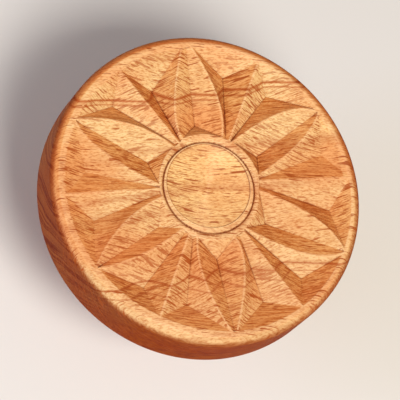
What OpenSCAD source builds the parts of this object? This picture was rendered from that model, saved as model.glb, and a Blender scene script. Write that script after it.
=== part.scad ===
// Round wooden cookie stamp: a chip-carved head, a turned knob and the dowel that joins them.
// It stands on its knob with the carved face up, and the axis of the turning is +Z.
// Lengths are in millimetres and angles in degrees.

/* [Head] */
// Diameter of the stamping head
head_d = 80; // [70:1:110]
// Thickness of the head
head_t = 15.5; // [14:0.5:24]
// Rounding of the edge round the stamping face
face_round = 1.8; // [0.8:0.1:3]
// Rounding of the edge round the back
back_round = 2; // [0.8:0.1:4]
// Flat rim left between the carving and the rounded edge
rim_w = 1.3; // [0.5:0.1:4]

/* [Dish] */
// Diameter of the shallow dish in the middle of the face
dish_d = 22; // [16:0.2:28]
// Depth of the dish
dish_h = 1.4; // [0.5:0.1:2.2]
// Flat lip left between the dish and the groove
lip_w = 0.25; // [0.1:0.05:1]
// Width of the V groove round the dish
groove_w = 0.9; // [0.4:0.1:1.5]
// Depth of the V groove
groove_h = 0.5; // [0.2:0.1:1.2]
// Width of the plain ring between the groove and the petals
ring_w = 1.05; // [0.3:0.05:3]

/* [Rosette] */
// Number of petals
petal_count = 6; // [5:1:8]
// Bow of a petal's side out from a straight line
petal_bow = 2.2; // [0:0.1:3]
// Distance of a petal's deepest point from the ring
petal_pit_in = 3.6; // [2.5:0.1:8]
// Depth of a petal
petal_pit_h = 2.1; // [1:0.1:4]
// Distance of a rim cut's deepest point from the rim
rim_pit_in = 6; // [3:0.1:9]
// Depth of a rim cut
rim_pit_h = 2.5; // [1:0.1:4.5]
// Place of a rim cut's deepest point from the petal's middle, 0, to the ridge, 1
rim_pit_share = 0.62; // [0.55:0.01:0.75]
// Width of a rim cut's narrow end, at the ring
rim_end_w = 1.4; // [0.5:0.1:2.5]
// Width of the flat ridge left between two cuts
ridge_w = 0.35; // [0.2:0.05:0.8]

/* [Knob] */
// Largest diameter of the knob
knob_d = 34; // [30:1:44]
// Height of the knob below the head
knob_h = 31; // [28:1:45]
// Diameter of the flat end that the stamp stands on
knob_end_d = 23; // [16:1:28]
// Radius of the knob's swell
swell_r = 11; // [9:0.5:13]
// Diameter of the waist where the fingers close
waist_d = 19; // [16:0.5:22]
// Diameter of the foot that seats on the head
foot_d = 25.5; // [24:0.5:32]

/* [Dowel] */
// Diameter of the dowel pin
dowel_d = 8; // [6:1:10]
// Length of the dowel pin
dowel_l = 25; // [20:1:30]
// Length of the dowel that sits in the head
dowel_in_head = 10; // [6:0.5:10]
// Chamfer on the ends of the dowel
dowel_chamfer = 0.8; // [0.4:0.1:1.5]
// Number of glue flutes along the dowel
flute_count = 12; // [6:1:16]
// Radius of a glue flute
flute_r = 0.6; // [0.3:0.1:0.8]
// Depth of a glue flute
flute_h = 0.35; // [0.1:0.05:0.5]

/* [Fit] */
// Gap for glue round the dowel
glue_gap = 0.1; // [0.05:0.05:0.3]
// Gap for glue beyond each end of the dowel
end_gap = 0.75; // [0.3:0.05:1.5]

/* [Hidden] */
$fn = 96;
beech = "#d4934f";
pale_beech = "#e2c298";

// Height that a cutting shape reaches past the surface it cuts
cut_over = 0.05;
// Straight steps along one bowed or round stretch of a cut's outline
steps = 8;

// Heights along the axis, from the knob's flat end
seat_z = knob_h;
face_z = knob_h + head_t;

// Radii of the face, from the rounded edge inwards
head_r = head_d / 2;
carve_r = head_r - face_round - rim_w;
dish_r = dish_d / 2;
groove_r = dish_r + lip_w + groove_w / 2;
ring_r = groove_r + groove_w / 2 + ring_w;
// Radius of the sphere that hollows the dish
hollow_r = (dish_r * dish_r + dish_h * dish_h) / (2 * dish_h);

// Corners that the cuts of one petal share, with the petal's middle along +X
half_turn = 180 / petal_count;
petal_half = half_turn - 2 * asin((rim_end_w + ridge_w) / 2 / ring_r);
tip = [carve_r, 0];
root = polar(ring_r, petal_half);
side_run = tip - root;
side_l = norm(side_run);
side_out = [-side_run.y, side_run.x] / side_l;
side_a = atan2(side_run.y, side_run.x);
// Turn of a bowed side at its ends away from the straight line between them
bow_a = atan(4 * petal_bow / side_l);
// Directions of a petal's side where it leaves the ring, and of its tip
root_a = side_a + bow_a;
tip_a = bow_a - side_a;
// Turn along the ring that half the ridge takes where a petal's side leaves it
root_ridge_a = asin(ridge_w / 2 / cos(root_a - petal_half) / ring_r);

// The knob's profile is a swell and a cove that touch, and the cove ends at the foot
swell_x = knob_d / 2 - swell_r;
end_run = knob_end_d / 2 - swell_x;
swell_z = sqrt(swell_r * swell_r - end_run * end_run);
foot_r = foot_d / 2;
waist_in = waist_d / 2 - swell_x;
foot_out = foot_r - waist_d / 2;
waist_gap = swell_r - waist_in;
// Height of the cove's centre, the root of the quadratic that both conditions give
cove_b = 2 * (waist_gap * knob_h - foot_out * swell_z);
cove_c = foot_out * (swell_z * swell_z - swell_r * swell_r + waist_in * waist_in)
    - waist_gap * (knob_h * knob_h + foot_out * foot_out);
cove_z = -2 * cove_c / (cove_b + sqrt(cove_b * cove_b - 4 * (foot_out - waist_gap) * cove_c));
cove_rise = knob_h - cove_z;
cove_r = (foot_out * foot_out + cove_rise * cove_rise) / (2 * foot_out);
cove_x = waist_d / 2 + cove_r;
swell_mid = [swell_x, swell_z];
cove_mid = [cove_x, cove_z];
touch = swell_mid + (cove_mid - swell_mid) * swell_r / (swell_r + cove_r);

// Sockets for the dowel
socket_d = dowel_d + 2 * glue_gap;
head_socket_h = dowel_in_head + end_gap;
knob_socket_h = dowel_l - dowel_in_head + end_gap;
dowel_z = seat_z + dowel_in_head - dowel_l;

function polar(r, a) = [r * cos(a), r * sin(a)];

function arc(r, from, to) = [for (i = [0 : steps]) polar(r, from + (to - from) * i / steps)];

// Points between the ends of a side that bows out from the petal, without the ends
function bowed(from, to) = [
    for (i = [1 : steps - 1])
        let (t = i / steps) from + (to - from) * t + side_out * petal_bow * 4 * t * (1 - t)
];

function mirrored(points) = [for (i = [len(points) - 1 : -1 : 0]) [points[i].x, -points[i].y]];

// Outline of a petal: an arc along the ring and two bowed sides that meet in its tip
function petal_outline() =
    let (
        base_a = petal_half - root_ridge_a,
        point = tip - [ridge_w / 2 / sin(tip_a), 0],
        side = bowed(point, polar(ring_r, base_a))
    )
    concat(arc(ring_r, base_a, -base_a), mirrored(side), [point], side);

// Outline of a rim cut: an arc along the rim, a straight ridge, the narrow end and the petal's bowed side
function rim_outline() =
    let (
        tip_side_a = asin(ridge_w / 2 / cos(tip_a) / carve_r),
        ridge_side_a = half_turn - asin(ridge_w / 2 / carve_r),
        ridge_corner = polar(ring_r, half_turn - asin(ridge_w / 2 / ring_r)),
        side_corner = polar(ring_r, petal_half + root_ridge_a)
    )
    concat(
        arc(carve_r, tip_side_a, ridge_side_a),
        [ridge_corner, side_corner],
        bowed(side_corner, polar(carve_r, tip_side_a))
    );

// One knife cut whose facets all run down to its deepest point
module chip(outline, pit, depth) {
    count = len(outline);
    reach = 1 + cut_over / depth;
    lid = [for (p = outline) concat(pit + (p - pit) * reach, cut_over)];
    polyhedron(
        points = concat(lid, [concat(pit, -depth)], [concat(pit, cut_over)]),
        faces = concat(
            [for (i = [0 : count - 1]) [i, (i + 1) % count, count]],
            [for (i = [0 : count - 1]) [(i + 1) % count, i, count + 1]]
        )
    );
}

// The cuts of the rosette below face level: one petal and its two rim cuts, repeated round the axis
module rosette() {
    rim_pit = polar(carve_r - rim_pit_in, rim_pit_share * half_turn);
    for (i = [0 : petal_count - 1])
        rotate((2 * i + 1) * half_turn) {
            chip(petal_outline(), [ring_r + petal_pit_in, 0], petal_pit_h);
            chip(rim_outline(), rim_pit, rim_pit_h);
            mirror([0, 1, 0]) chip(rim_outline(), rim_pit, rim_pit_h);
        }
}

// Half section of the head, with z = 0 at the back
module head_section() {
    groove_out = groove_w / 2 * (1 + cut_over / groove_h);
    difference() {
        union() {
            square([head_r - back_round, head_t / 2]);
            translate([0, back_round]) square([head_r, head_t - back_round - face_round]);
            translate([0, head_t / 2]) square([head_r - face_round, head_t / 2]);
            translate([head_r - back_round, back_round]) circle(r = back_round);
            translate([head_r - face_round, head_t - face_round]) circle(r = face_round);
        }
        translate([0, head_t - dish_h + hollow_r]) circle(r = hollow_r);
        translate([groove_r, head_t]) polygon([[0, -groove_h], [groove_out, cut_over], [-groove_out, cut_over]]);
    }
}

// Half section of the knob
module knob_section() {
    difference() {
        union() {
            square([swell_x, swell_z]);
            intersection() {
                translate(swell_mid) circle(r = swell_r);
                square([knob_d, swell_z + swell_r]);
            }
            polygon([[0, swell_z], touch, [foot_r, knob_h], [0, knob_h]]);
        }
        translate(cove_mid) circle(r = cove_r);
    }
}

module stamp_head() {
    color(beech)
        difference() {
            translate([0, 0, seat_z]) rotate_extrude() head_section();
            translate([0, 0, face_z]) rosette();
            translate([0, 0, seat_z - cut_over]) cylinder(d = socket_d, h = head_socket_h + cut_over);
        }
}

module knob() {
    color(beech)
        difference() {
            rotate_extrude() knob_section();
            translate([0, 0, seat_z - knob_socket_h]) cylinder(d = socket_d, h = knob_socket_h + cut_over);
        }
}

module dowel_pin() {
    dowel_r = dowel_d / 2;
    color(pale_beech)
        translate([0, 0, dowel_z])
            difference() {
                rotate_extrude()
                    polygon([
                        [0, 0],
                        [dowel_r - dowel_chamfer, 0],
                        [dowel_r, dowel_chamfer],
                        [dowel_r, dowel_l - dowel_chamfer],
                        [dowel_r - dowel_chamfer, dowel_l],
                        [0, dowel_l]
                    ]);
                for (i = [0 : flute_count - 1])
                    rotate(i * 360 / flute_count)
                        translate([dowel_r + flute_r - flute_h, 0, -cut_over])
                            cylinder(r = flute_r, h = dowel_l + 2 * cut_over);
            }
}

stamp_head();
knob();
dowel_pin();
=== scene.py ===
import math

import bmesh
import bpy
from bpy.props import FloatProperty, FloatVectorProperty, IntProperty, PointerProperty
from bpy.types import Operator, Panel, PropertyGroup
from mathutils import Matrix, Vector


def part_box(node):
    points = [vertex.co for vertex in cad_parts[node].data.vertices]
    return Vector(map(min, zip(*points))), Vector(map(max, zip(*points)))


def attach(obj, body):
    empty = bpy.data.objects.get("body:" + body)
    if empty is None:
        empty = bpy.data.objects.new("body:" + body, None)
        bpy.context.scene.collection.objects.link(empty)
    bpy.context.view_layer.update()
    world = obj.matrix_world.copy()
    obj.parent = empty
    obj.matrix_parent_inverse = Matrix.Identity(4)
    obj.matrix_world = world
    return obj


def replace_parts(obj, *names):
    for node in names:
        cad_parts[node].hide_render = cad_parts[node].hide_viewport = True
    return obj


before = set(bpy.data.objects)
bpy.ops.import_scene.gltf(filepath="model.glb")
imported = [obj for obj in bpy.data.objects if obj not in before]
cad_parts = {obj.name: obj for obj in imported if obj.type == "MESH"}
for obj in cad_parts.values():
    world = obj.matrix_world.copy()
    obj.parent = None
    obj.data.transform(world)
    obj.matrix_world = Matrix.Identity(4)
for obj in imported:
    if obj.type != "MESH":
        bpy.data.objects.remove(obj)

bl_info = {
    "name": "Carved Cookie Stamp",
    "version": (1, 0, 0),
    "blender": (4, 5, 0),
    "location": "View3D > Sidebar > Cookie Stamp",
    "description": "Builds a chip-carved wooden cookie stamp on its packed frame",
    "category": "Object",
}

MM = 0.001
HEAD_LOW, HEAD_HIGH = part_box("stamp_head")
KNOB_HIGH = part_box("knob")[1]
DOWEL_LOW, DOWEL_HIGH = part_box("dowel_pin")
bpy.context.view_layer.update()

# Points nearer than this are one point
WELD = MM / 1000
# Edges that bend by less than this are shaded smooth
SMOOTH_BEND = math.radians(25)
# Flat that is left inside the rounding of the face
RIM_FLAT = 0.02 * MM
# Half the width of the floor
FLOOR_HALF = 3
# Steps along the round stretches of the turned profiles
DISH_STEPS, EDGE_STEPS, SWELL_STEPS, COVE_STEPS, ARRIS_STEPS = 12, 8, 24, 16, 5

# The carver's hand, petal by petal anticlockwise from the one at 30 degrees, as degrees and millimetres
# from the axis: where the ridges start and end, and the corners of the petals
RIDGE_ROOTS = ((4.6, 13.3), (58.4, 13.7), (116.2, 13.0), (178.0, 12.5), (238.8, 13.3), (302.0, 13.5))
RIDGE_ENDS = ((1.1, 37.6), (60.3, 36.8), (120.1, 36.4), (179.6, 36.9), (241.0, 36.3), (301.4, 37.3))
RIGHT_ROOTS = ((10.1, 13.5), (66.6, 13.7), (124.0, 13.1), (188.0, 12.5), (248.0, 13.2), (305.6, 13.2))
LEFT_ROOTS = ((55.2, 13.8), (110.2, 13.7), (174.2, 12.5), (230.8, 12.8), (289.7, 13.4), (354.4, 12.7))
RIGHT_TIPS = ((29.2, 36.8), (88.2, 37.0), (148.3, 37.0), (210.1, 36.7), (270.3, 36.8), (330.0, 37.5))
LEFT_TIPS = ((29.9, 36.9), (92.0, 36.9), (149.1, 36.9), (210.8, 36.6), (272.1, 36.9), (331.0, 37.5))
# The deepest points of the petals and of the rim cuts beside them, with the depth as a third value
PETAL_PITS = (
    (28.8, 16.7, 2.3), (91.4, 16.8, 2.2), (150.8, 16.2, 2.1),
    (212.2, 16.7, 1.4), (269.9, 17.7, 2.55), (325.9, 16.9, 2.2),
)
RIGHT_PITS = (
    (13.0, 32.2, 1.15), (72.5, 30.6, 2.7), (132.0, 31.0, 2.7),
    (191.7, 30.8, 1.8), (251.4, 30.2, 2.3), (311.6, 31.9, 2.7),
)
LEFT_PITS = (
    (50.3, 30.9, 2.5), (110.8, 28.2, 2.7), (169.0, 31.2, 1.1),
    (229.9, 30.9, 2.5), (289.3, 30.9, 2.5), (347.7, 32.3, 2.4),
)
# How far along a petal's side its bow is drawn, as a share, and the bow in millimetres
RIGHT_BOWS = ((0.69, 1.7), (0.35, 2.35), (0.43, 2.6), (0.49, 2.35), (0.39, 2.15), (0.7, 2.6))
LEFT_BOWS = ((0.75, 2.8), (0.22, 1.95), (0.75, 2.1), (0.55, 1.55), (0.22, 2.5), (0.7, 2.7))
# A petal's tip that is wider than this, in degrees, gets a point in its middle
WIDE_TIP = 1.5
# How deep the worn edge of a ridge drops, as a share of its width
CREST_DROP = 0.28

# Marks of the grain: the size of their cells in millimetres along the grain, across the rays and along
# them, their detail, the noise levels between which they fade in, and their greatest strength.
# Real pores and fibres are finer, and are drawn as coarse as they need to show.
MARKS = {
    "rays": ((5.5, 0.26, 6), 0.5, (0.6, 0.65, 0.95)),
    "breaks": ((3, 1.5, 2.4), 0, (0.44, 0.54, 1)),
    "ticks": ((3.4, 0.25, 3.4), 0, (0.6, 0.66, 0.75)),
    "stripes": ((60, 25, 0.7), 1.5, (0.48, 0.58, 1)),
    "flecks": ((1.4, 0.12, 1.6), 0.5, (0.56, 0.7, 0.46)),
    "fibres": ((7, 0.3, 0.9), 2, (0.42, 0.64, 1)),
    "pores": ((0.9, 0.24, 0.4), 1, (0.45, 0.7, 0.62)),
    "rings": ((120, 60, 2.6), 2, (0.52, 0.7, 0.35)),
    "mottle": ((30, 12, 14), 2, (0.4, 0.65, 0.8)),
}
# The cells in which the grain drifts, and how far it drifts in those three directions, in millimetres
DRIFT_CELLS, DRIFT = (22.22, 11.11, 16.67), (0, 1.6, 4)
# Growth lines of the head: place along the rays, half width, both in millimetres, and strength
GROWTH_LINES = ((-50.2, 0.55, 0.95), (-49.1, 0.4, 0.75), (-16.5, 0.4, 0.85), (-14.6, 0.3, 0.6))
# Pin knots in the face and in the knob, in millimetres from the axis, and the radii of a knot and its core
FACE_KNOT, KNOB_KNOT = (6.8, -27.7), (12, 9)
KNOT_R, KNOT_CORE = 0.55, 0.25
# Where the tint that darkens the wood towards −Y starts and where it is full, in millimetres along Y
MINUS_Y_TINT_START, MINUS_Y_TINT_FULL = 14, -30

# Zones of the turned wood, in millimetres from a middle that lies a little off the axis: where the
# burnished edge starts on each piece, which is painted dark as shade as well as burnished, the width in
# which burnish and painted shade come in, the rim inside it over which the marks of the knife stop, and the
# band that the tools left rough. The knob's burnish starts below 0, so all of it is burnished and painted
# dark, and the dowel's past its radius, so none of it is.
ZONE_MIDDLE = (-0.6, -0.65)
HEAD_WALL, KNOB_WALL, DOWEL_WALL = 38.3, -2, 50
BURNISH_FADE = 0.8
RIM_START, RIM_END = 1.4, 0.4
ROUGH_MIDDLE, ROUGH_HALF, ROUGH_FADE = 25, 11.4, 0.4
# How far below the face a worn ridge starts to turn pale, and where it is pale, in millimetres
RIDGE_LOW, RIDGE_TOP = 0.08, 0.02
# How far round a point the painted shade of the hollows and the wear of the edges look for a hollow or an
# edge
TRACE_REACH = 0.5 * MM


def linear(code):
    """Turn an sRGB hex colour into linear red, green and blue."""
    parts = [int(code[i : i + 2], 16) / 255 for i in (1, 3, 5)]
    return tuple(c / 12.92 if c <= 0.04045 else ((c + 0.055) / 1.055) ** 2.4 for c in parts)


def length(label, text, default):
    """Describe a length that the sidebar shows."""
    return FloatProperty(name=label, description=text, default=default, unit="LENGTH", precision=5)


def angle(label, text, degrees):
    """Describe an angle that the sidebar shows."""
    return FloatProperty(name=label, description=text, default=math.radians(degrees), subtype="ANGLE")


def power(label, text, watts):
    """Describe the power of a lamp that the sidebar shows."""
    return FloatProperty(name=label, description=text, default=watts, min=0, unit="POWER")


def colour(label, text, code):
    """Describe a colour that the sidebar shows."""
    return FloatVectorProperty(
        name=label, description=text, default=linear(code), subtype="COLOR", size=3, min=0, max=1
    )


class StampSizes(PropertyGroup):
    """Sizes of the stamp that its frame doesn't give"""

    steps: IntProperty(name="Steps", description="Steps in one turn", default=240, min=48)
    side_steps: IntProperty(name="Side steps", description="Steps along one ridge", default=24, min=4)
    face_round: length("Face rounding", "Rounding of the edge round the face", 2.3 * MM)
    back_round: length("Back rounding", "Rounding of the edge round the back", 2 * MM)
    dish_r: length("Dish radius", "Radius of the shallow dish", 10.85 * MM)
    dish_shift: length("Dish shift", "Distance of the dish's middle from the axis", 0.55 * MM)
    dish_h: length("Dish depth", "Depth of the dish", 1.1 * MM)
    step_h: length("Step height", "Height of the step at the dish's edge", 0.2 * MM)
    step_w: length("Step width", "Width of the step at the dish's edge", 0.1 * MM)
    groove_r: length("Groove radius", "Radius of the V groove's bottom", 11.8 * MM)
    groove_w: length("Groove width", "Width of the V groove", 0.62 * MM)
    groove_h: length("Groove depth", "Depth of the V groove", 0.32 * MM)
    land_w: length("Ridge width", "Width of the flat ridge between two cuts", 0.28 * MM)
    crest: length("Ridge softness", "Width of the worn edge of a ridge", 0.12 * MM)
    notch: length("Notch", "Depth of a valley where it runs out", 0.25 * MM)
    swell_r: length("Swell radius", "Radius of the arc of the knob's swell", 11 * MM)
    end_r: length("End radius", "Radius of the knob's flat end", 11.5 * MM)
    waist_r: length("Waist radius", "Radius of the knob's waist", 9.5 * MM)
    foot_r: length("Foot radius", "Radius of the knob's foot", 12.75 * MM)
    arris: length("Arris", "Softened edge at the knob's end", 0.5 * MM)
    socket_r: length("Socket radius", "Radius of the dowel's holes", 4.1 * MM)
    socket_gap: length("Socket gap", "Gap beyond each end of the dowel", 0.75 * MM)


class StampFinish(PropertyGroup):
    """Colours of the beech"""

    # These five tones go by how squarely the wood faces its shine: on the head they are painted light and
    # shade, lighter towards the key lamp and darker away from it, over the lustre of the rays
    lit_lustre: colour("Lustre", "Wood cut along its rays, which shines", "#e7c186")
    face: colour("Face", "Wood as the flat of the board shows it", "#eab474")
    mid: colour("Middle", "Wood between the flat and the slant", "#eaae6a")
    slant: colour("Slant", "Wood cut across its rays", "#e8a45f")
    cross: colour("Cross", "Wood cut square across its rays", "#e89e59")
    # The flats tint is partly sanding and partly a painted sheen: surfaces in the sanded zones that face
    # along the axis are painted lighter
    flat: colour("Flats", "Wood that was sanded on the lathe and left uncut", "#f8cc87")
    raw: colour("Raw", "Wood without oil, cut along its rays", "#ead2ae")
    raw_cross: colour("Raw cross", "Wood without oil, cut across its rays", "#dfc097")
    ray: colour("Rays", "Dashes of the medullary rays", "#a24b1b")
    rosy: colour("Rosy tint", "Tint of the rosy patches of steamed beech", "#f8d9cb")
    pore: colour("Pore tint", "Tint of the fine pores", "#d9ad86")
    late: colour("Late wood tint", "Tint of the growth lines", "#c98a68")
    fibre: colour("Fibre tint", "Tint of the darker fibres", "#dcb894")
    # This tint darkens the wood towards −Y, from Y = 14 mm to −30 mm
    heart: colour("Heart tint", "Tint of the side of the board nearer the heart", "#f0e7e7")
    end: colour("End tint", "Tint of end grain, which drinks the oil", "#e4dcd4")
    # The wall tint is painted shade as well as burnish: it darkens the side wall of the head as if it lay in
    # shade, and the same tint darkens all of the knob
    wall: colour("Wall tint", "Tint of the edge, burnished on the lathe", "#b3671b")
    crest: colour("Crest", "Worn wood on the ridges and edges", "#f4c88e")
    sheen: colour("Sheen", "Light that the oiled wood throws back", "#f0d6b8")
    # The valley tint paints shade at the bottoms of the cuts, with the oil and dust that gather there
    shade_and_grime: colour("Valley tint", "Tint of oil and dust at the bottom of a cut", "#985c36")


class StampStage(PropertyGroup):
    """Floor, lights and camera"""

    floor: colour("Floor", "Pale paper sweep", "#d9d3ca")
    key: power("Key", "Power of the key light", 8.6)
    key_tint: colour("Key tint", "Neutral light", "#ffffff")
    key_turn: angle("Key turn", "Direction of the key light round the axis", -88)
    key_rise: angle("Key rise", "Height of the key light over the face", 58)
    side: power("Side", "Power of the side light", 4.6)
    side_tint: colour("Side tint", "Cool light as from a window", "#aec8ff")
    side_turn: angle("Side turn", "Direction of the side light round the axis", 172)
    side_rise: angle("Side rise", "Height of the side light over the face", 20)
    lamp_size: length("Lamp size", "Width of each lamp", 350 * MM)
    lamp_distance: length("Lamp distance", "Distance of each lamp from the face", 900 * MM)
    fill: FloatProperty(name="Fill", description="Strength of the light from all round", default=0.34, min=0)
    fill_tint: colour("Fill tint", "Warm light thrown back by the room", "#ffefd7")
    lens: FloatProperty(name="Lens", description="Focal length of the camera", default=270, unit="CAMERA")
    distance: length("Distance", "Camera's distance from the face", 736.5 * MM)
    tilt: angle("Tilt", "Lean of the face away from the camera", 25.7)
    heading: angle("Heading", "Picture direction that the face leans to", 45)
    spin: angle("Spin", "Turn of the rosette in the picture", 6.1)
    shift: FloatVectorProperty(
        name="Shift",
        description="Face's centre from the picture's middle, right and up",
        default=(2.217 * MM, 3.005 * MM),
        size=2,
        unit="LENGTH",
        precision=5,
    )


def add_node(tree, kind, inputs=(), **settings):
    """Add a shader node with its settings, and set its inputs or link them to a socket or a node."""
    node = tree.nodes.new("ShaderNode" + kind)
    for name, value in settings.items():
        setattr(node, name, value)
    for key, value in dict(inputs).items():
        if isinstance(value, bpy.types.Node):
            value = value.outputs[0]
        if isinstance(value, bpy.types.NodeSocket):
            tree.links.new(value, node.inputs[key])
        else:
            node.inputs[key].default_value = value
    return node


def add_object(name, data):
    """Put an object with this data into the scene."""
    item = bpy.data.objects.new(name, data)
    bpy.context.scene.collection.objects.link(item)
    return item


def polar(radius, turn, height):
    """Give the point at that radius, angle and height."""
    return Vector((radius * math.cos(turn), radius * math.sin(turn), height))


def turned(bm, profile, steps):
    """Turn a profile of radius and height pairs about the axis."""
    verts = [bm.verts.new((r, 0, z)) for r, z in profile]
    edges = [bm.edges.new(pair) for pair in zip(verts, verts[1:])]
    bmesh.ops.spin(bm, geom=verts + edges, axis=(0, 0, 1), angle=math.tau, steps=steps, use_merge=True)
    bmesh.ops.remove_doubles(bm, verts=bm.verts, dist=WELD)


def arc_profile(middle, radius, start, end, steps):
    """List points along an arc of a profile, with angles in radians."""
    angles = [start + (end - start) * i / steps for i in range(steps + 1)]
    return [(middle[0] + radius * math.cos(a), middle[1] + radius * math.sin(a)) for a in angles]


def round_edge(bm, radius, height, rounding, segments):
    """Round the edge that lies on a circle about the axis."""

    def on_circle(vert):
        return abs(vert.co.z - height) < WELD and abs(vert.co.xy.length - radius) < WELD

    edges = [e for e in bm.edges if on_circle(e.verts[0]) and on_circle(e.verts[1])]
    bmesh.ops.bevel(
        bm, geom=edges, offset=rounding, segments=segments, profile=0.5, affect="EDGES", material=-1
    )


def sharpen(bm):
    """Mark the edges where the surface bends hard as sharp, and the others as smooth."""
    for edge in bm.edges:
        if len(edge.link_faces) == 2:
            edge.smooth = edge.calc_face_angle() < SMOOTH_BEND


def new_piece(name, bm, material):
    """Make an object of a finished mesh and let it ride on the frame."""
    bmesh.ops.remove_doubles(bm, verts=bm.verts, dist=WELD)
    bmesh.ops.recalc_face_normals(bm, faces=bm.faces)
    for face in bm.faces:
        face.smooth = True
    mesh = bpy.data.meshes.new(name)
    bm.to_mesh(mesh)
    bm.free()
    mesh.materials.append(material)
    piece = add_object(name, mesh)
    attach(piece, "root")
    return piece


def spot_point(spot, face_z):
    """Give the point at a spot of degrees and millimetres, which for a pit has a depth too."""
    degrees, radius, *depth = spot
    return polar(radius * MM, math.radians(degrees), face_z - sum(depth) * MM)


def lay_out_cuts(bm, steps, face_z):
    """Lay the rosette out as flat faces, and list each with its pit, its narrow end and two corners."""

    def corners(spots):
        return [bm.verts.new(spot_point(spot, face_z)) for spot in spots]

    def curve(start, end, share=0.5, bow=0.0):
        run = end.co - start.co
        bend = start.co + run * share + Vector((-run.y, run.x, 0)).normalized() * 2 * bow * MM
        points = []
        for t in [i / steps for i in range(1, steps)]:
            points.append(start.co * (1 - t) ** 2 + bend * 2 * t * (1 - t) + end.co * t * t)
        return [bm.verts.new(point) for point in points]

    def arc(start, end, count):
        turn, rise = (end[0] - start[0]) % 360, end[1] - start[1]
        return corners([(start[0] + turn * i / count, start[1] + rise * i / count) for i in range(1, count)])

    ridge_roots, ridge_ends = corners(RIDGE_ROOTS), corners(RIDGE_ENDS)
    right_roots, left_roots = corners(RIGHT_ROOTS), corners(LEFT_ROOTS)
    right_tips, left_tips = corners(RIGHT_TIPS), corners(LEFT_TIPS)
    ridges = [curve(root, end) for root, end in zip(ridge_roots, ridge_ends)]
    cuts = []
    for i in range(len(ridges)):
        j = (i + 1) % len(ridges)
        right_root, right_tip = right_roots[i], right_tips[i]
        left_root, left_tip = left_roots[i], left_tips[i]
        right = curve(right_root, right_tip, RIGHT_BOWS[i][0], -RIGHT_BOWS[i][1])
        left = curve(left_root, left_tip, *LEFT_BOWS[i])
        base = arc(RIGHT_ROOTS[i], LEFT_ROOTS[i], steps)
        tip = arc(RIGHT_TIPS[i], LEFT_TIPS[i], 2 if LEFT_TIPS[i][0] - RIGHT_TIPS[i][0] > WIDE_TIP else 1)
        rim_right = arc(RIDGE_ENDS[i], RIGHT_TIPS[i], steps)
        rim_left = arc(LEFT_TIPS[i], RIDGE_ENDS[j], steps)
        root_right = arc(RIDGE_ROOTS[i], RIGHT_ROOTS[i], 2)
        root_left = arc(LEFT_ROOTS[i], RIDGE_ROOTS[j], 2)
        out_right = [right_root, *right, right_tip]
        out_left = [left_root, *left, left_tip]
        out_ridge = [ridge_roots[i], *ridges[i], ridge_ends[i]]
        next_ridge = [ridge_roots[j], *ridges[j], ridge_ends[j]]
        petal = bm.faces.new([*out_right, *tip, *reversed(out_left), *reversed(base)])
        right_cut = bm.faces.new([*out_ridge, *rim_right, *reversed(out_right), *root_right])
        left_cut = bm.faces.new([*out_left, *rim_left, *reversed(next_ridge), *root_left])
        cuts.append((petal, PETAL_PITS[i], (tip[0] if tip else left_tip, right_root, left_root)))
        cuts.append((right_cut, RIGHT_PITS[i], (root_right[0], right_tip, ridge_ends[i])))
        cuts.append((left_cut, LEFT_PITS[i], (root_left[0], left_tip, ridge_ends[j])))
    return cuts


def strip(bm, row, other):
    """Fill the strip between two rows of vertices that start at the same one."""
    i, j = 0, 0
    while i + j < len(row) + len(other) - 2:
        if (i + 1) * (len(other) - 1) <= (j + 1) * (len(row) - 1):
            corners = (row[i], row[i + 1], other[j])
            i += 1
        else:
            corners = (row[i], other[j + 1], other[j])
            j += 1
        if len(set(corners)) == 3:
            bm.faces.new(corners)


def sink_cut(bm, sizes, face, deepest, corners):
    """Sink a flat face to its deepest point, inside a flat ridge with a worn edge."""
    bmesh.ops.inset_individual(bm, faces=[face], thickness=sizes.land_w / 2, use_even_offset=True)
    drop = sizes.crest * CREST_DROP
    bmesh.ops.inset_individual(bm, faces=[face], thickness=sizes.crest, depth=-drop, use_even_offset=True)
    # Three valleys part the facets, and the longest runs out through the narrow end of the cut
    end, *others = [min(face.verts, key=lambda v: (v.co - corner.co).length) for corner in corners]
    end.co.z -= sizes.notch
    pit = bm.verts.new(deepest)
    around = list(face.verts)
    bm.faces.remove(face)
    first = around.index(end)
    around = around[first:] + around[: first + 1]
    low, high = sorted(around.index(vert) for vert in others)
    steps = sizes.side_steps
    valley = [end, *(bm.verts.new(end.co.lerp(pit.co, k / steps)) for k in range(1, steps)), pit]
    strip(bm, valley, around[: low + 1])
    strip(bm, valley, around[: high - 1 : -1])
    for pair in zip(around[low:high], around[low + 1 :]):
        bm.faces.new((pit, *pair))
    for pair in (*zip(valley, valley[1:]), *((pit, vert) for vert in others)):
        bm.edges.get(pair).smooth = False


def grain_marks(tree, board):
    """Let the grain of the board drift, and draw its marks in long cells of noise."""
    counts = [1 / (size * MM) for size in DRIFT_CELLS]
    scaled = add_node(tree, "VectorMath", {0: board, 1: counts}, operation="MULTIPLY")
    drift = add_node(tree, "TexNoise", {"Vector": scaled, "Scale": 1, "Detail": 1})
    centred = add_node(
        tree, "VectorMath", {0: drift.outputs["Color"], 1: (0.5, 0.5, 0.5)}, operation="SUBTRACT"
    )
    reach = [way * MM for way in DRIFT]
    place = add_node(tree, "VectorMath", {0: centred, 1: reach, 2: board}, operation="MULTIPLY_ADD")
    marks = {}
    for mark, (cells, detail, (low, high, strength)) in MARKS.items():
        counts = [1 / (size * MM) for size in cells]
        scaled = add_node(tree, "VectorMath", {0: place, 1: counts}, operation="MULTIPLY")
        noise = add_node(tree, "TexNoise", {"Vector": scaled, "Scale": 1, "Detail": detail})
        marks[mark] = add_node(
            tree,
            "MapRange",
            {"Value": noise.outputs["Fac"], "From Min": low, "From Max": high, "To Max": strength},
            interpolation_type="SMOOTHSTEP",
        )
    return place, marks


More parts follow.
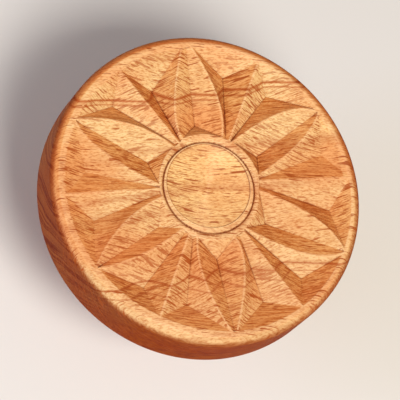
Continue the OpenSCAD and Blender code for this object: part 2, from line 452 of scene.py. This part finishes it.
def growth_lines(tree, place, rings, growth):
    """Draw the clear growth lines over the soft rings."""
    along_rays = add_node(tree, "SeparateXYZ", {0: place}).outputs["Z"]
    lines = rings
    for at, half_width, strength in growth:
        away = add_node(tree, "Math", {0: along_rays, 1: at * MM}, operation="SUBTRACT")
        gap = add_node(tree, "Math", {0: away}, operation="ABSOLUTE")
        line = add_node(
            tree,
            "MapRange",
            {"Value": gap, "From Min": half_width * MM, "From Max": 0, "To Max": strength},
            interpolation_type="SMOOTHSTEP",
        )
        lines = add_node(tree, "Math", {0: lines, 1: line}, operation="MAXIMUM")
    return lines


def turned_zones(tree, outward, wall):
    """Tell the burnished edge, which is also painted dark as shade, the wood inside its rim and the sanded
    wood by their radius.
    """
    middle = Vector((*ZONE_MIDDLE, 0)) * MM
    radius = add_node(tree, "VectorMath", {0: outward, 1: middle}, operation="DISTANCE").outputs["Value"]
    burnished = add_node(
        tree,
        "MapRange",
        {"Value": radius, "From Min": wall * MM, "From Max": (wall + BURNISH_FADE) * MM},
        interpolation_type="SMOOTHSTEP",
    )
    rim = {"From Min": (wall - RIM_START) * MM, "From Max": (wall - RIM_END) * MM}
    inside = add_node(tree, "MapRange", {"Value": radius, **rim, "To Min": 1, "To Max": 0})
    past_middle = add_node(tree, "Math", {0: radius, 1: ROUGH_MIDDLE * MM}, operation="SUBTRACT")
    off_middle = add_node(tree, "Math", {0: past_middle}, operation="ABSOLUTE")
    fade = {"From Min": ROUGH_HALF * MM, "From Max": (ROUGH_HALF + ROUGH_FADE) * MM}
    sanded = add_node(tree, "MapRange", {"Value": off_middle, **fade})
    return burnished, inside, sanded


def pin_knots(tree, outward, knots):
    """Draw each pin knot as a dark spot."""
    pins = []
    for knot in knots:
        spot = Vector((*knot, 0)) * MM
        away = add_node(tree, "VectorMath", {0: outward, 1: spot}, operation="DISTANCE").outputs["Value"]
        sizes = {"From Min": KNOT_R * MM, "From Max": KNOT_CORE * MM}
        pins.append(add_node(tree, "MapRange", {"Value": away, **sizes, "To Max": 0.9}))
    return pins


def shaded_and_worn_places(tree):
    """Find the bottoms of the cuts, which are painted dark as shade and as the oil and dust that gather
    there, and the ridges, which wear pale.
    """
    traces = []
    for inside, full, strength in ((False, 0.82, 0.75), (True, 0.8, 0.36)):
        near = add_node(tree, "AmbientOcclusion", {"Distance": TRACE_REACH}, inside=inside)
        trace = {"Value": near.outputs["AO"], "From Min": 0.96, "From Max": full, "To Max": strength}
        traces.append(add_node(tree, "MapRange", trace))
    return traces


def beech(name, finish, flat, tones, grain, rays, shine, wall, growth=(), knots=()):
    """Beech, turned and cut, with a satin face and a close grain.

    Dark red-brown rays show as short dashes where the knife or gouge crosses them, growth rings as soft
    bands. Surfaces that face along the shine are painted paler and those that face across it browner: on the
    head the shine leans towards the key lamp, so this is painted light and shade, over the lustre of the
    rays and the oil that wood cut across them drinks. Grain, rays and shine are directions, and wall is
    where the burnished edge starts, which is also painted dark as shade.
    """
    material = bpy.data.materials.new(name)
    material.use_nodes = True
    tree = material.node_tree
    tree.nodes.clear()
    along = Vector(grain).normalized()
    across = along.cross(Vector(rays)).normalized()
    turn = Matrix((along, across, along.cross(across))).to_euler()
    coords = add_node(tree, "TexCoord")
    board = add_node(tree, "Mapping", {"Vector": coords.outputs["Object"], "Rotation": turn})
    grown, marks = grain_marks(tree, board)
    lines = growth_lines(tree, grown, marks["rings"], growth)
    # Fine rings from the lathe draw the shine out towards the axis
    outward = add_node(tree, "VectorMath", {0: coords.outputs["Object"], 1: (1, 1, 0)}, operation="MULTIPLY")
    burnished, inside, sanded = turned_zones(tree, outward, wall)
    # How squarely the surface faces the shine, which on the head leans towards the key lamp, the grain, the
    # axis and the flat sides of the rays
    leans = []
    for axis in (Vector(shine).normalized(), along, Vector((0, 0, 1)), across):
        dot = add_node(tree, "VectorMath", {0: coords.outputs["Normal"], 1: axis}, operation="DOT_PRODUCT")
        leans.append(add_node(tree, "Math", {0: dot.outputs["Value"]}, operation="ABSOLUTE"))
    toward_light_and_lustre, to_grain, to_axis, to_rays = leans

    # The tools lift the fibres where they cut across the rays, sanding lays them, the lathe combs the edge
    combed = add_node(tree, "MapRange", {"Value": burnished, "To Min": 0.3, "To Max": 0.9})
    smooth = add_node(tree, "MapRange", {"Value": sanded, "To Min": 1, "To Max": 0.35})
    # Fibres are drawn strongest where the surface faces away from the shine, which on the head adds painted
    # shade to the facets that face away from the key lamp
    torn = add_node(
        tree,
        "MapRange",
        {"Value": toward_light_and_lustre, "From Min": 0.45, "From Max": 0.1, "To Min": combed, "To Max": smooth},
    )
    raised = add_node(tree, "Math", {0: marks["fibres"], 1: torn}, operation="MULTIPLY")

    # Rays are broken dashes, faint where their flat sides show, and a hatching on the slopes of the cuts
    edge_on = add_node(
        tree, "MapRange", {"Value": to_rays, "From Min": 0.75, "From Max": 0.97, "To Min": 1, "To Max": 0.35}
    )
    broken = add_node(tree, "Math", {0: marks["rays"], 1: marks["breaks"]}, operation="MULTIPLY")
    plain = add_node(tree, "Math", {0: broken, 1: edge_on}, operation="MULTIPLY")
    slopes = add_node(
        tree, "MapRange", {"Value": to_grain, "From Min": 0.08, "From Max": 0.25, "To Max": inside}
    )
    hatch = add_node(tree, "Math", {0: marks["ticks"], 1: slopes}, operation="MULTIPLY")
    dashes = add_node(tree, "Math", {0: plain, 1: hatch}, operation="MAXIMUM")
    few = add_node(tree, "MapRange", {"Value": inside, "To Min": 0.35, "To Max": 1})
    flecks = add_node(tree, "Math", {0: marks["flecks"], 1: few}, operation="MULTIPLY")

    # Sanded flats are pale, partly as painted sheen, worn ridges are pale, end grain is dark, and the
    # burnished edge is dark, partly as painted shade
    flats = add_node(
        tree, "MapRange", {"Value": to_axis, "From Min": 0.955, "From Max": 0.985, "To Max": sanded}
    )
    place = add_node(tree, "SeparateXYZ", {"Vector": coords.outputs["Object"]})
    low, high = HEAD_HIGH.z - RIDGE_LOW * MM, HEAD_HIGH.z - RIDGE_TOP * MM
    ridges = add_node(
        tree, "MapRange", {"Value": place.outputs["Z"], "From Min": low, "From Max": high, "To Max": 0.7}
    )
    # Darker towards −Y
    heart = add_node(
        tree,
        "MapRange",
        {"Value": place.outputs["Y"], "From Min": MINUS_Y_TINT_START * MM, "From Max": MINUS_Y_TINT_FULL * MM},
    )
    ends = add_node(tree, "MapRange", {"Value": to_grain, "From Min": 0.5, "From Max": 1})
    stripes = add_node(tree, "Math", {0: marks["stripes"], 1: ends}, operation="MULTIPLY")
    rounding = add_node(tree, "MapRange", {"Value": to_axis, "To Min": 1, "To Max": 0.35})
    taken = add_node(tree, "MapRange", {"Value": ends, "To Min": rounding, "To Max": 0.7})
    # The burnished edge is tinted dark, which paints shade on the side wall of the head
    edge = add_node(tree, "Math", {0: burnished, 1: taken}, operation="MULTIPLY")
    shade_and_grime, wear = shaded_and_worn_places(tree)

    # Tone by facing: on the head painted light and shade, lighter on facets that face the key lamp and
    # darker on those facing away
    tone = add_node(tree, "ValToRGB", {"Fac": toward_light_and_lustre})
    stops = tone.color_ramp.elements
    while len(stops) < len(tones):
        stops.new(0.5)
    for stop, (position, tint) in zip(stops, tones):
        stop.position = position
        stop.color = (*tint, 1)
    layers = (
        # Sanded flats, lighter partly as painted sheen
        ("MIX", flats, flat),
        ("MIX", ridges, finish.crest),
        ("MULTIPLY", heart, finish.heart),
        ("MULTIPLY", marks["mottle"], finish.rosy),
        ("MULTIPLY", lines, finish.late),
        ("MULTIPLY", raised, finish.fibre),
        ("MULTIPLY", marks["pores"], finish.pore),
        ("MULTIPLY", ends, finish.end),
        # Painted shade on the side wall, with the burnish
        ("MULTIPLY", edge, finish.wall),
        ("MULTIPLY", stripes, finish.late),
        ("MIX", flecks, finish.ray),
        ("MIX", dashes, finish.ray),
        *(("MIX", pin, finish.ray) for pin in pin_knots(tree, outward, knots)),
        ("MIX", wear, finish.crest),
        # Painted shade at the bottoms of the cuts, with oil and dust
        ("MULTIPLY", shade_and_grime, finish.shade_and_grime),
    )
    shade = tone.outputs["Color"]
    for blend, mask, tint in layers:
        sockets = {0: mask, 6: shade, 7: (*tint, 1)}
        shade = add_node(tree, "Mix", sockets, data_type="RGBA", blend_type=blend).outputs[2]

    # Oil leaves a satin shine, most on the sanded flats, and the dashes and fibres lie a little deeper
    satin = add_node(tree, "MapRange", {"Value": burnished, "To Min": 0.2, "To Max": 0.06})
    shiny = add_node(tree, "Math", {0: flats, 1: 0.62, 2: satin}, operation="MULTIPLY_ADD")
    relief = add_node(tree, "Math", {0: dashes, 1: raised}, operation="ADD")
    bump = add_node(tree, "Bump", {"Height": relief, "Strength": 0.35, "Distance": 0.05 * MM}, invert=True)
    shader = add_node(
        tree,
        "BsdfPrincipled",
        {
            "Base Color": shade,
            "Roughness": 0.5,
            "Specular IOR Level": shiny,
            "Specular Tint": (*finish.sheen, 1),
            "Anisotropic": 0.85,
            "Tangent": outward,
            "Normal": bump,
        },
    )
    add_node(tree, "OutputMaterial", {"Surface": shader})
    return material


def oiled(finish):
    """List the tones of oiled beech by how squarely the surface faces its shine, which on the head is
    painted light and shade: lighter facing the key lamp, darker facing away.
    """
    return (
        (0, finish.cross),
        (0.15, finish.slant),
        (0.3, finish.mid),
        (0.45, finish.face),
        (0.65, finish.lit_lustre),
    )


class STAMP_OT_head(Operator):
    """Turn the head, carve the rosette and oil the wood"""

    bl_idname = "stamp.head"
    bl_label = "Carved head"

    def execute(self, context):
        sizes, finish = context.scene.stamp_sizes, context.scene.stamp_finish
        face_z, seat_z, head_r = HEAD_HIGH.z, HEAD_LOW.z, HEAD_HIGH.x
        bm = bmesh.new()
        # The dish sits a little off the axis, inside the groove
        hollow_w = sizes.dish_r - sizes.step_w
        hollow_h = sizes.dish_h - sizes.step_h
        hollow_r = (hollow_w**2 + hollow_h**2) / (2 * hollow_h)
        hollow_z = face_z - sizes.dish_h + hollow_r
        lowest, turn = -math.pi / 2, math.asin(hollow_w / hollow_r)
        dish = arc_profile((0, hollow_z), hollow_r, lowest, lowest + turn, DISH_STEPS)
        turned(bm, [*dish, (sizes.dish_r, face_z)], sizes.steps)
        bmesh.ops.translate(bm, verts=bm.verts, vec=(0, sizes.dish_shift, 0))
        half = sizes.groove_w / 2
        bottom = (sizes.groove_r, face_z - sizes.groove_h)
        turned(bm, [(sizes.groove_r - half, face_z), bottom, (sizes.groove_r + half, face_z)], sizes.steps)
        lip = [e for e in bm.edges if e.is_boundary and e.verts[0].co.xy.length < sizes.groove_r]
        bmesh.ops.bridge_loops(bm, edges=lip)
        # The rim, the wall and the back with its socket
        rim_in = head_r - sizes.face_round - RIM_FLAT
        socket_z = DOWEL_HIGH.z + sizes.socket_gap
        back = [(head_r, seat_z), (sizes.socket_r, seat_z), (sizes.socket_r, socket_z), (0, socket_z)]
        turned(bm, [(rim_in, face_z), (head_r, face_z), *back], sizes.steps)
        round_edge(bm, head_r, face_z, sizes.face_round, EDGE_STEPS)
        round_edge(bm, head_r, seat_z, sizes.back_round, EDGE_STEPS)
        sharpen(bm)
        for edge in lip:
            edge.smooth = False
        # The rosette, which is then joined to the groove and to the rim
        cuts = lay_out_cuts(bm, sizes.side_steps, face_z)
        bm.normal_update()
        for face, pit, corners in cuts:
            sink_cut(bm, sizes, face, spot_point(pit, face_z), corners)
        open_edges = [e for e in bm.edges if e.is_boundary]
        inner = [e for e in open_edges if e.verts[0].co.xy.length < head_r / 2]
        outer = [e for e in open_edges if e not in inner]
        bmesh.ops.bridge_loops(bm, edges=inner)
        bmesh.ops.bridge_loops(bm, edges=outer)
        wood = beech(
            "oiled_beech_face",
            finish,
            finish.flat,
            oiled(finish),
            grain=(1, -0.05, 0.1),
            rays=(0, 1, 1),
            # The head's shine leans towards the key lamp, so the tones paint its facets lighter towards the
            # light and darker away from it
            shine=(0, -0.9, 0.44),
            wall=HEAD_WALL,
            growth=GROWTH_LINES,
            knots=[FACE_KNOT],
        )
        head = new_piece("carved_head", bm, wood)
        weighted = head.modifiers.new("Even facets", "WEIGHTED_NORMAL")
        weighted.keep_sharp = True
        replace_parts(head, "stamp_head")
        return {"FINISHED"}


class STAMP_OT_knob(Operator):
    """Turn the knob and oil the wood"""

    bl_idname = "stamp.knob"
    bl_label = "Turned knob"

    def execute(self, context):
        sizes, finish = context.scene.stamp_sizes, context.scene.stamp_finish
        top = KNOB_HIGH.z
        swell_x = KNOB_HIGH.x - sizes.swell_r
        swell_z = math.sqrt(sizes.swell_r**2 - (sizes.end_r - swell_x) ** 2)
        # The cove touches the swell, is narrowest at the waist and ends at the foot, which makes its
        # height the root of a quadratic
        waist_in = sizes.waist_r - swell_x
        foot_out = sizes.foot_r - sizes.waist_r
        gap = sizes.swell_r - waist_in
        a = foot_out - gap
        b = 2 * (gap * top - foot_out * swell_z)
        c = foot_out * (swell_z**2 - sizes.swell_r**2 + waist_in**2) - gap * (top**2 + foot_out**2)
        cove_z = -2 * c / (b + math.sqrt(b * b - 4 * a * c))
        cove_r = (foot_out**2 + (top - cove_z) ** 2) / (2 * foot_out)
        cove_x = sizes.waist_r + cove_r
        meet = math.atan2(cove_z - swell_z, cove_x - swell_x)
        low = math.atan2(-swell_z, sizes.end_r - swell_x)
        high = math.atan2(top - cove_z, sizes.foot_r - cove_x)
        swell = arc_profile((swell_x, swell_z), sizes.swell_r, low, meet, SWELL_STEPS)
        cove = arc_profile((cove_x, cove_z), cove_r, math.pi + meet, high, COVE_STEPS)
        socket_z = DOWEL_LOW.z - sizes.socket_gap
        hole = [(sizes.socket_r, top), (sizes.socket_r, socket_z), (0, socket_z)]
        bm = bmesh.new()
        turned(bm, [(0, 0), *swell, *cove[1:], *hole], sizes.steps)
        round_edge(bm, sizes.end_r, 0, sizes.arris, ARRIS_STEPS)
        sharpen(bm)
        wood = beech(
            "oiled_beech_knob",
            finish,
            finish.flat,
            oiled(finish),
            grain=(0.02, 0.03, 1),
            rays=(1, 0.4, 0),
            shine=(-0.4, 1, 0),
            wall=KNOB_WALL,
            knots=[KNOB_KNOT],
        )
        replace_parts(new_piece("turned_knob", bm, wood), "knob")
        return {"FINISHED"}


class STAMP_OT_dowel(Operator):
    """Give the hidden dowel its raw wood"""

    bl_idname = "stamp.dowel"
    bl_label = "Dowel"

    def execute(self, context):
        finish = context.scene.stamp_finish
        wood = beech(
            "raw_beech_dowel",
            finish,
            finish.raw,
            ((0, finish.raw_cross), (1, finish.raw)),
            grain=(0, 0, 1),
            rays=(1, 0, 0),
            shine=(0, 1, 0),
            wall=DOWEL_WALL,
        )
        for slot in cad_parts["dowel_pin"].material_slots:
            slot.material = wood
        return {"FINISHED"}


def lay_floor(stage):
    """Lay a floor of pale paper, which is matt and even."""
    bm = bmesh.new()
    bmesh.ops.create_grid(bm, x_segments=1, y_segments=1, size=FLOOR_HALF)
    mesh = bpy.data.meshes.new("floor")
    bm.to_mesh(mesh)
    bm.free()
    floor = add_object("floor", mesh)
    paper = bpy.data.materials.new("paper_sweep")
    paper.use_nodes = True
    tree = paper.node_tree
    tree.nodes.clear()
    shader = add_node(tree, "BsdfPrincipled", {"Base Color": (*stage.floor, 1), "Roughness": 0.9})
    add_node(tree, "OutputMaterial", {"Surface": shader})
    mesh.materials.append(paper)


def light_face(scene, stage, face):
    """Light the face with two soft lamps, and the rest from all round."""
    world = bpy.data.worlds.new("studio")
    scene.world = world
    world.use_nodes = True
    tree = world.node_tree
    tree.nodes.clear()
    room = add_node(tree, "Background", {"Color": (*stage.fill_tint, 1), "Strength": stage.fill})
    add_node(tree, "OutputWorld", {"Surface": room})
    key = ("key", stage.key, stage.key_tint, stage.key_turn, stage.key_rise)
    side = ("side", stage.side, stage.side_tint, stage.side_turn, stage.side_rise)
    for name, watts, tint, turn, rise in (key, side):
        light = bpy.data.lights.new(name, "AREA")
        light.energy = watts
        light.color = tint
        light.size = stage.lamp_size
        toward = polar(math.cos(rise), turn, math.sin(rise))
        lamp = add_object(name, light)
        lamp.location = face + toward * stage.lamp_distance
        lamp.rotation_euler = toward.to_track_quat("Z", "Y").to_euler()


def aim_camera(scene, stage, face):
    """Look at the face so that it leans away towards its heading in the picture."""
    axis = Vector((0, 0, 1))
    lean = polar(1, stage.heading, 0)
    side = axis.cross(lean)
    back = axis * math.cos(stage.tilt) - lean * math.sin(stage.tilt)
    away = lean * math.cos(stage.tilt) + axis * math.sin(stage.tilt)
    right = away * math.cos(stage.heading) - side * math.sin(stage.heading)
    up = away * math.sin(stage.heading) + side * math.cos(stage.heading)
    spin = Matrix.Rotation(-stage.spin, 3, "Z")
    right, up, back = spin @ right, spin @ up, spin @ back
    camera = bpy.data.cameras.new("camera")
    camera.lens = stage.lens
    viewer = add_object("camera", camera)
    viewer.location = face + back * stage.distance - right * stage.shift[0] - up * stage.shift[1]
    viewer.rotation_euler = Matrix((right, up, back)).transposed().to_euler()
    scene.camera = viewer


class STAMP_OT_stage(Operator):
    """Set the floor, the lights and the camera"""

    bl_idname = "stamp.stage"
    bl_label = "Stage"

    def execute(self, context):
        scene, stage = context.scene, context.scene.stamp_stage
        face = Vector((0, 0, HEAD_HIGH.z))
        lay_floor(stage)
        light_face(scene, stage, face)
        aim_camera(scene, stage, face)
        scene.view_settings.view_transform = "Standard"
        return {"FINISHED"}


class STAMP_PT_panel(Panel):
    """Lists the steps of the build and what can be changed"""

    bl_label = "Cookie Stamp"
    bl_idname = "STAMP_PT_panel"
    bl_space_type = "VIEW_3D"
    bl_region_type = "UI"
    bl_category = "Cookie Stamp"

    def draw(self, context):
        for step in STEPS:
            self.layout.operator(step.bl_idname)
        for group in (context.scene.stamp_sizes, context.scene.stamp_finish, context.scene.stamp_stage):
            for name in group.__annotations__:
                self.layout.prop(group, name)


STEPS = (STAMP_OT_head, STAMP_OT_knob, STAMP_OT_dowel, STAMP_OT_stage)
CLASSES = (StampSizes, StampFinish, StampStage, *STEPS, STAMP_PT_panel)


def register():
    for cls in CLASSES:
        bpy.utils.register_class(cls)
    bpy.types.Scene.stamp_sizes = PointerProperty(type=StampSizes)
    bpy.types.Scene.stamp_finish = PointerProperty(type=StampFinish)
    bpy.types.Scene.stamp_stage = PointerProperty(type=StampStage)


def unregister():
    del bpy.types.Scene.stamp_stage
    del bpy.types.Scene.stamp_finish
    del bpy.types.Scene.stamp_sizes
    for cls in reversed(CLASSES):
        bpy.utils.unregister_class(cls)


def main():
    register()
    bpy.ops.stamp.head()
    bpy.ops.stamp.knob()
    bpy.ops.stamp.dowel()
    bpy.ops.stamp.stage()


if __name__ == "__main__":
    main()
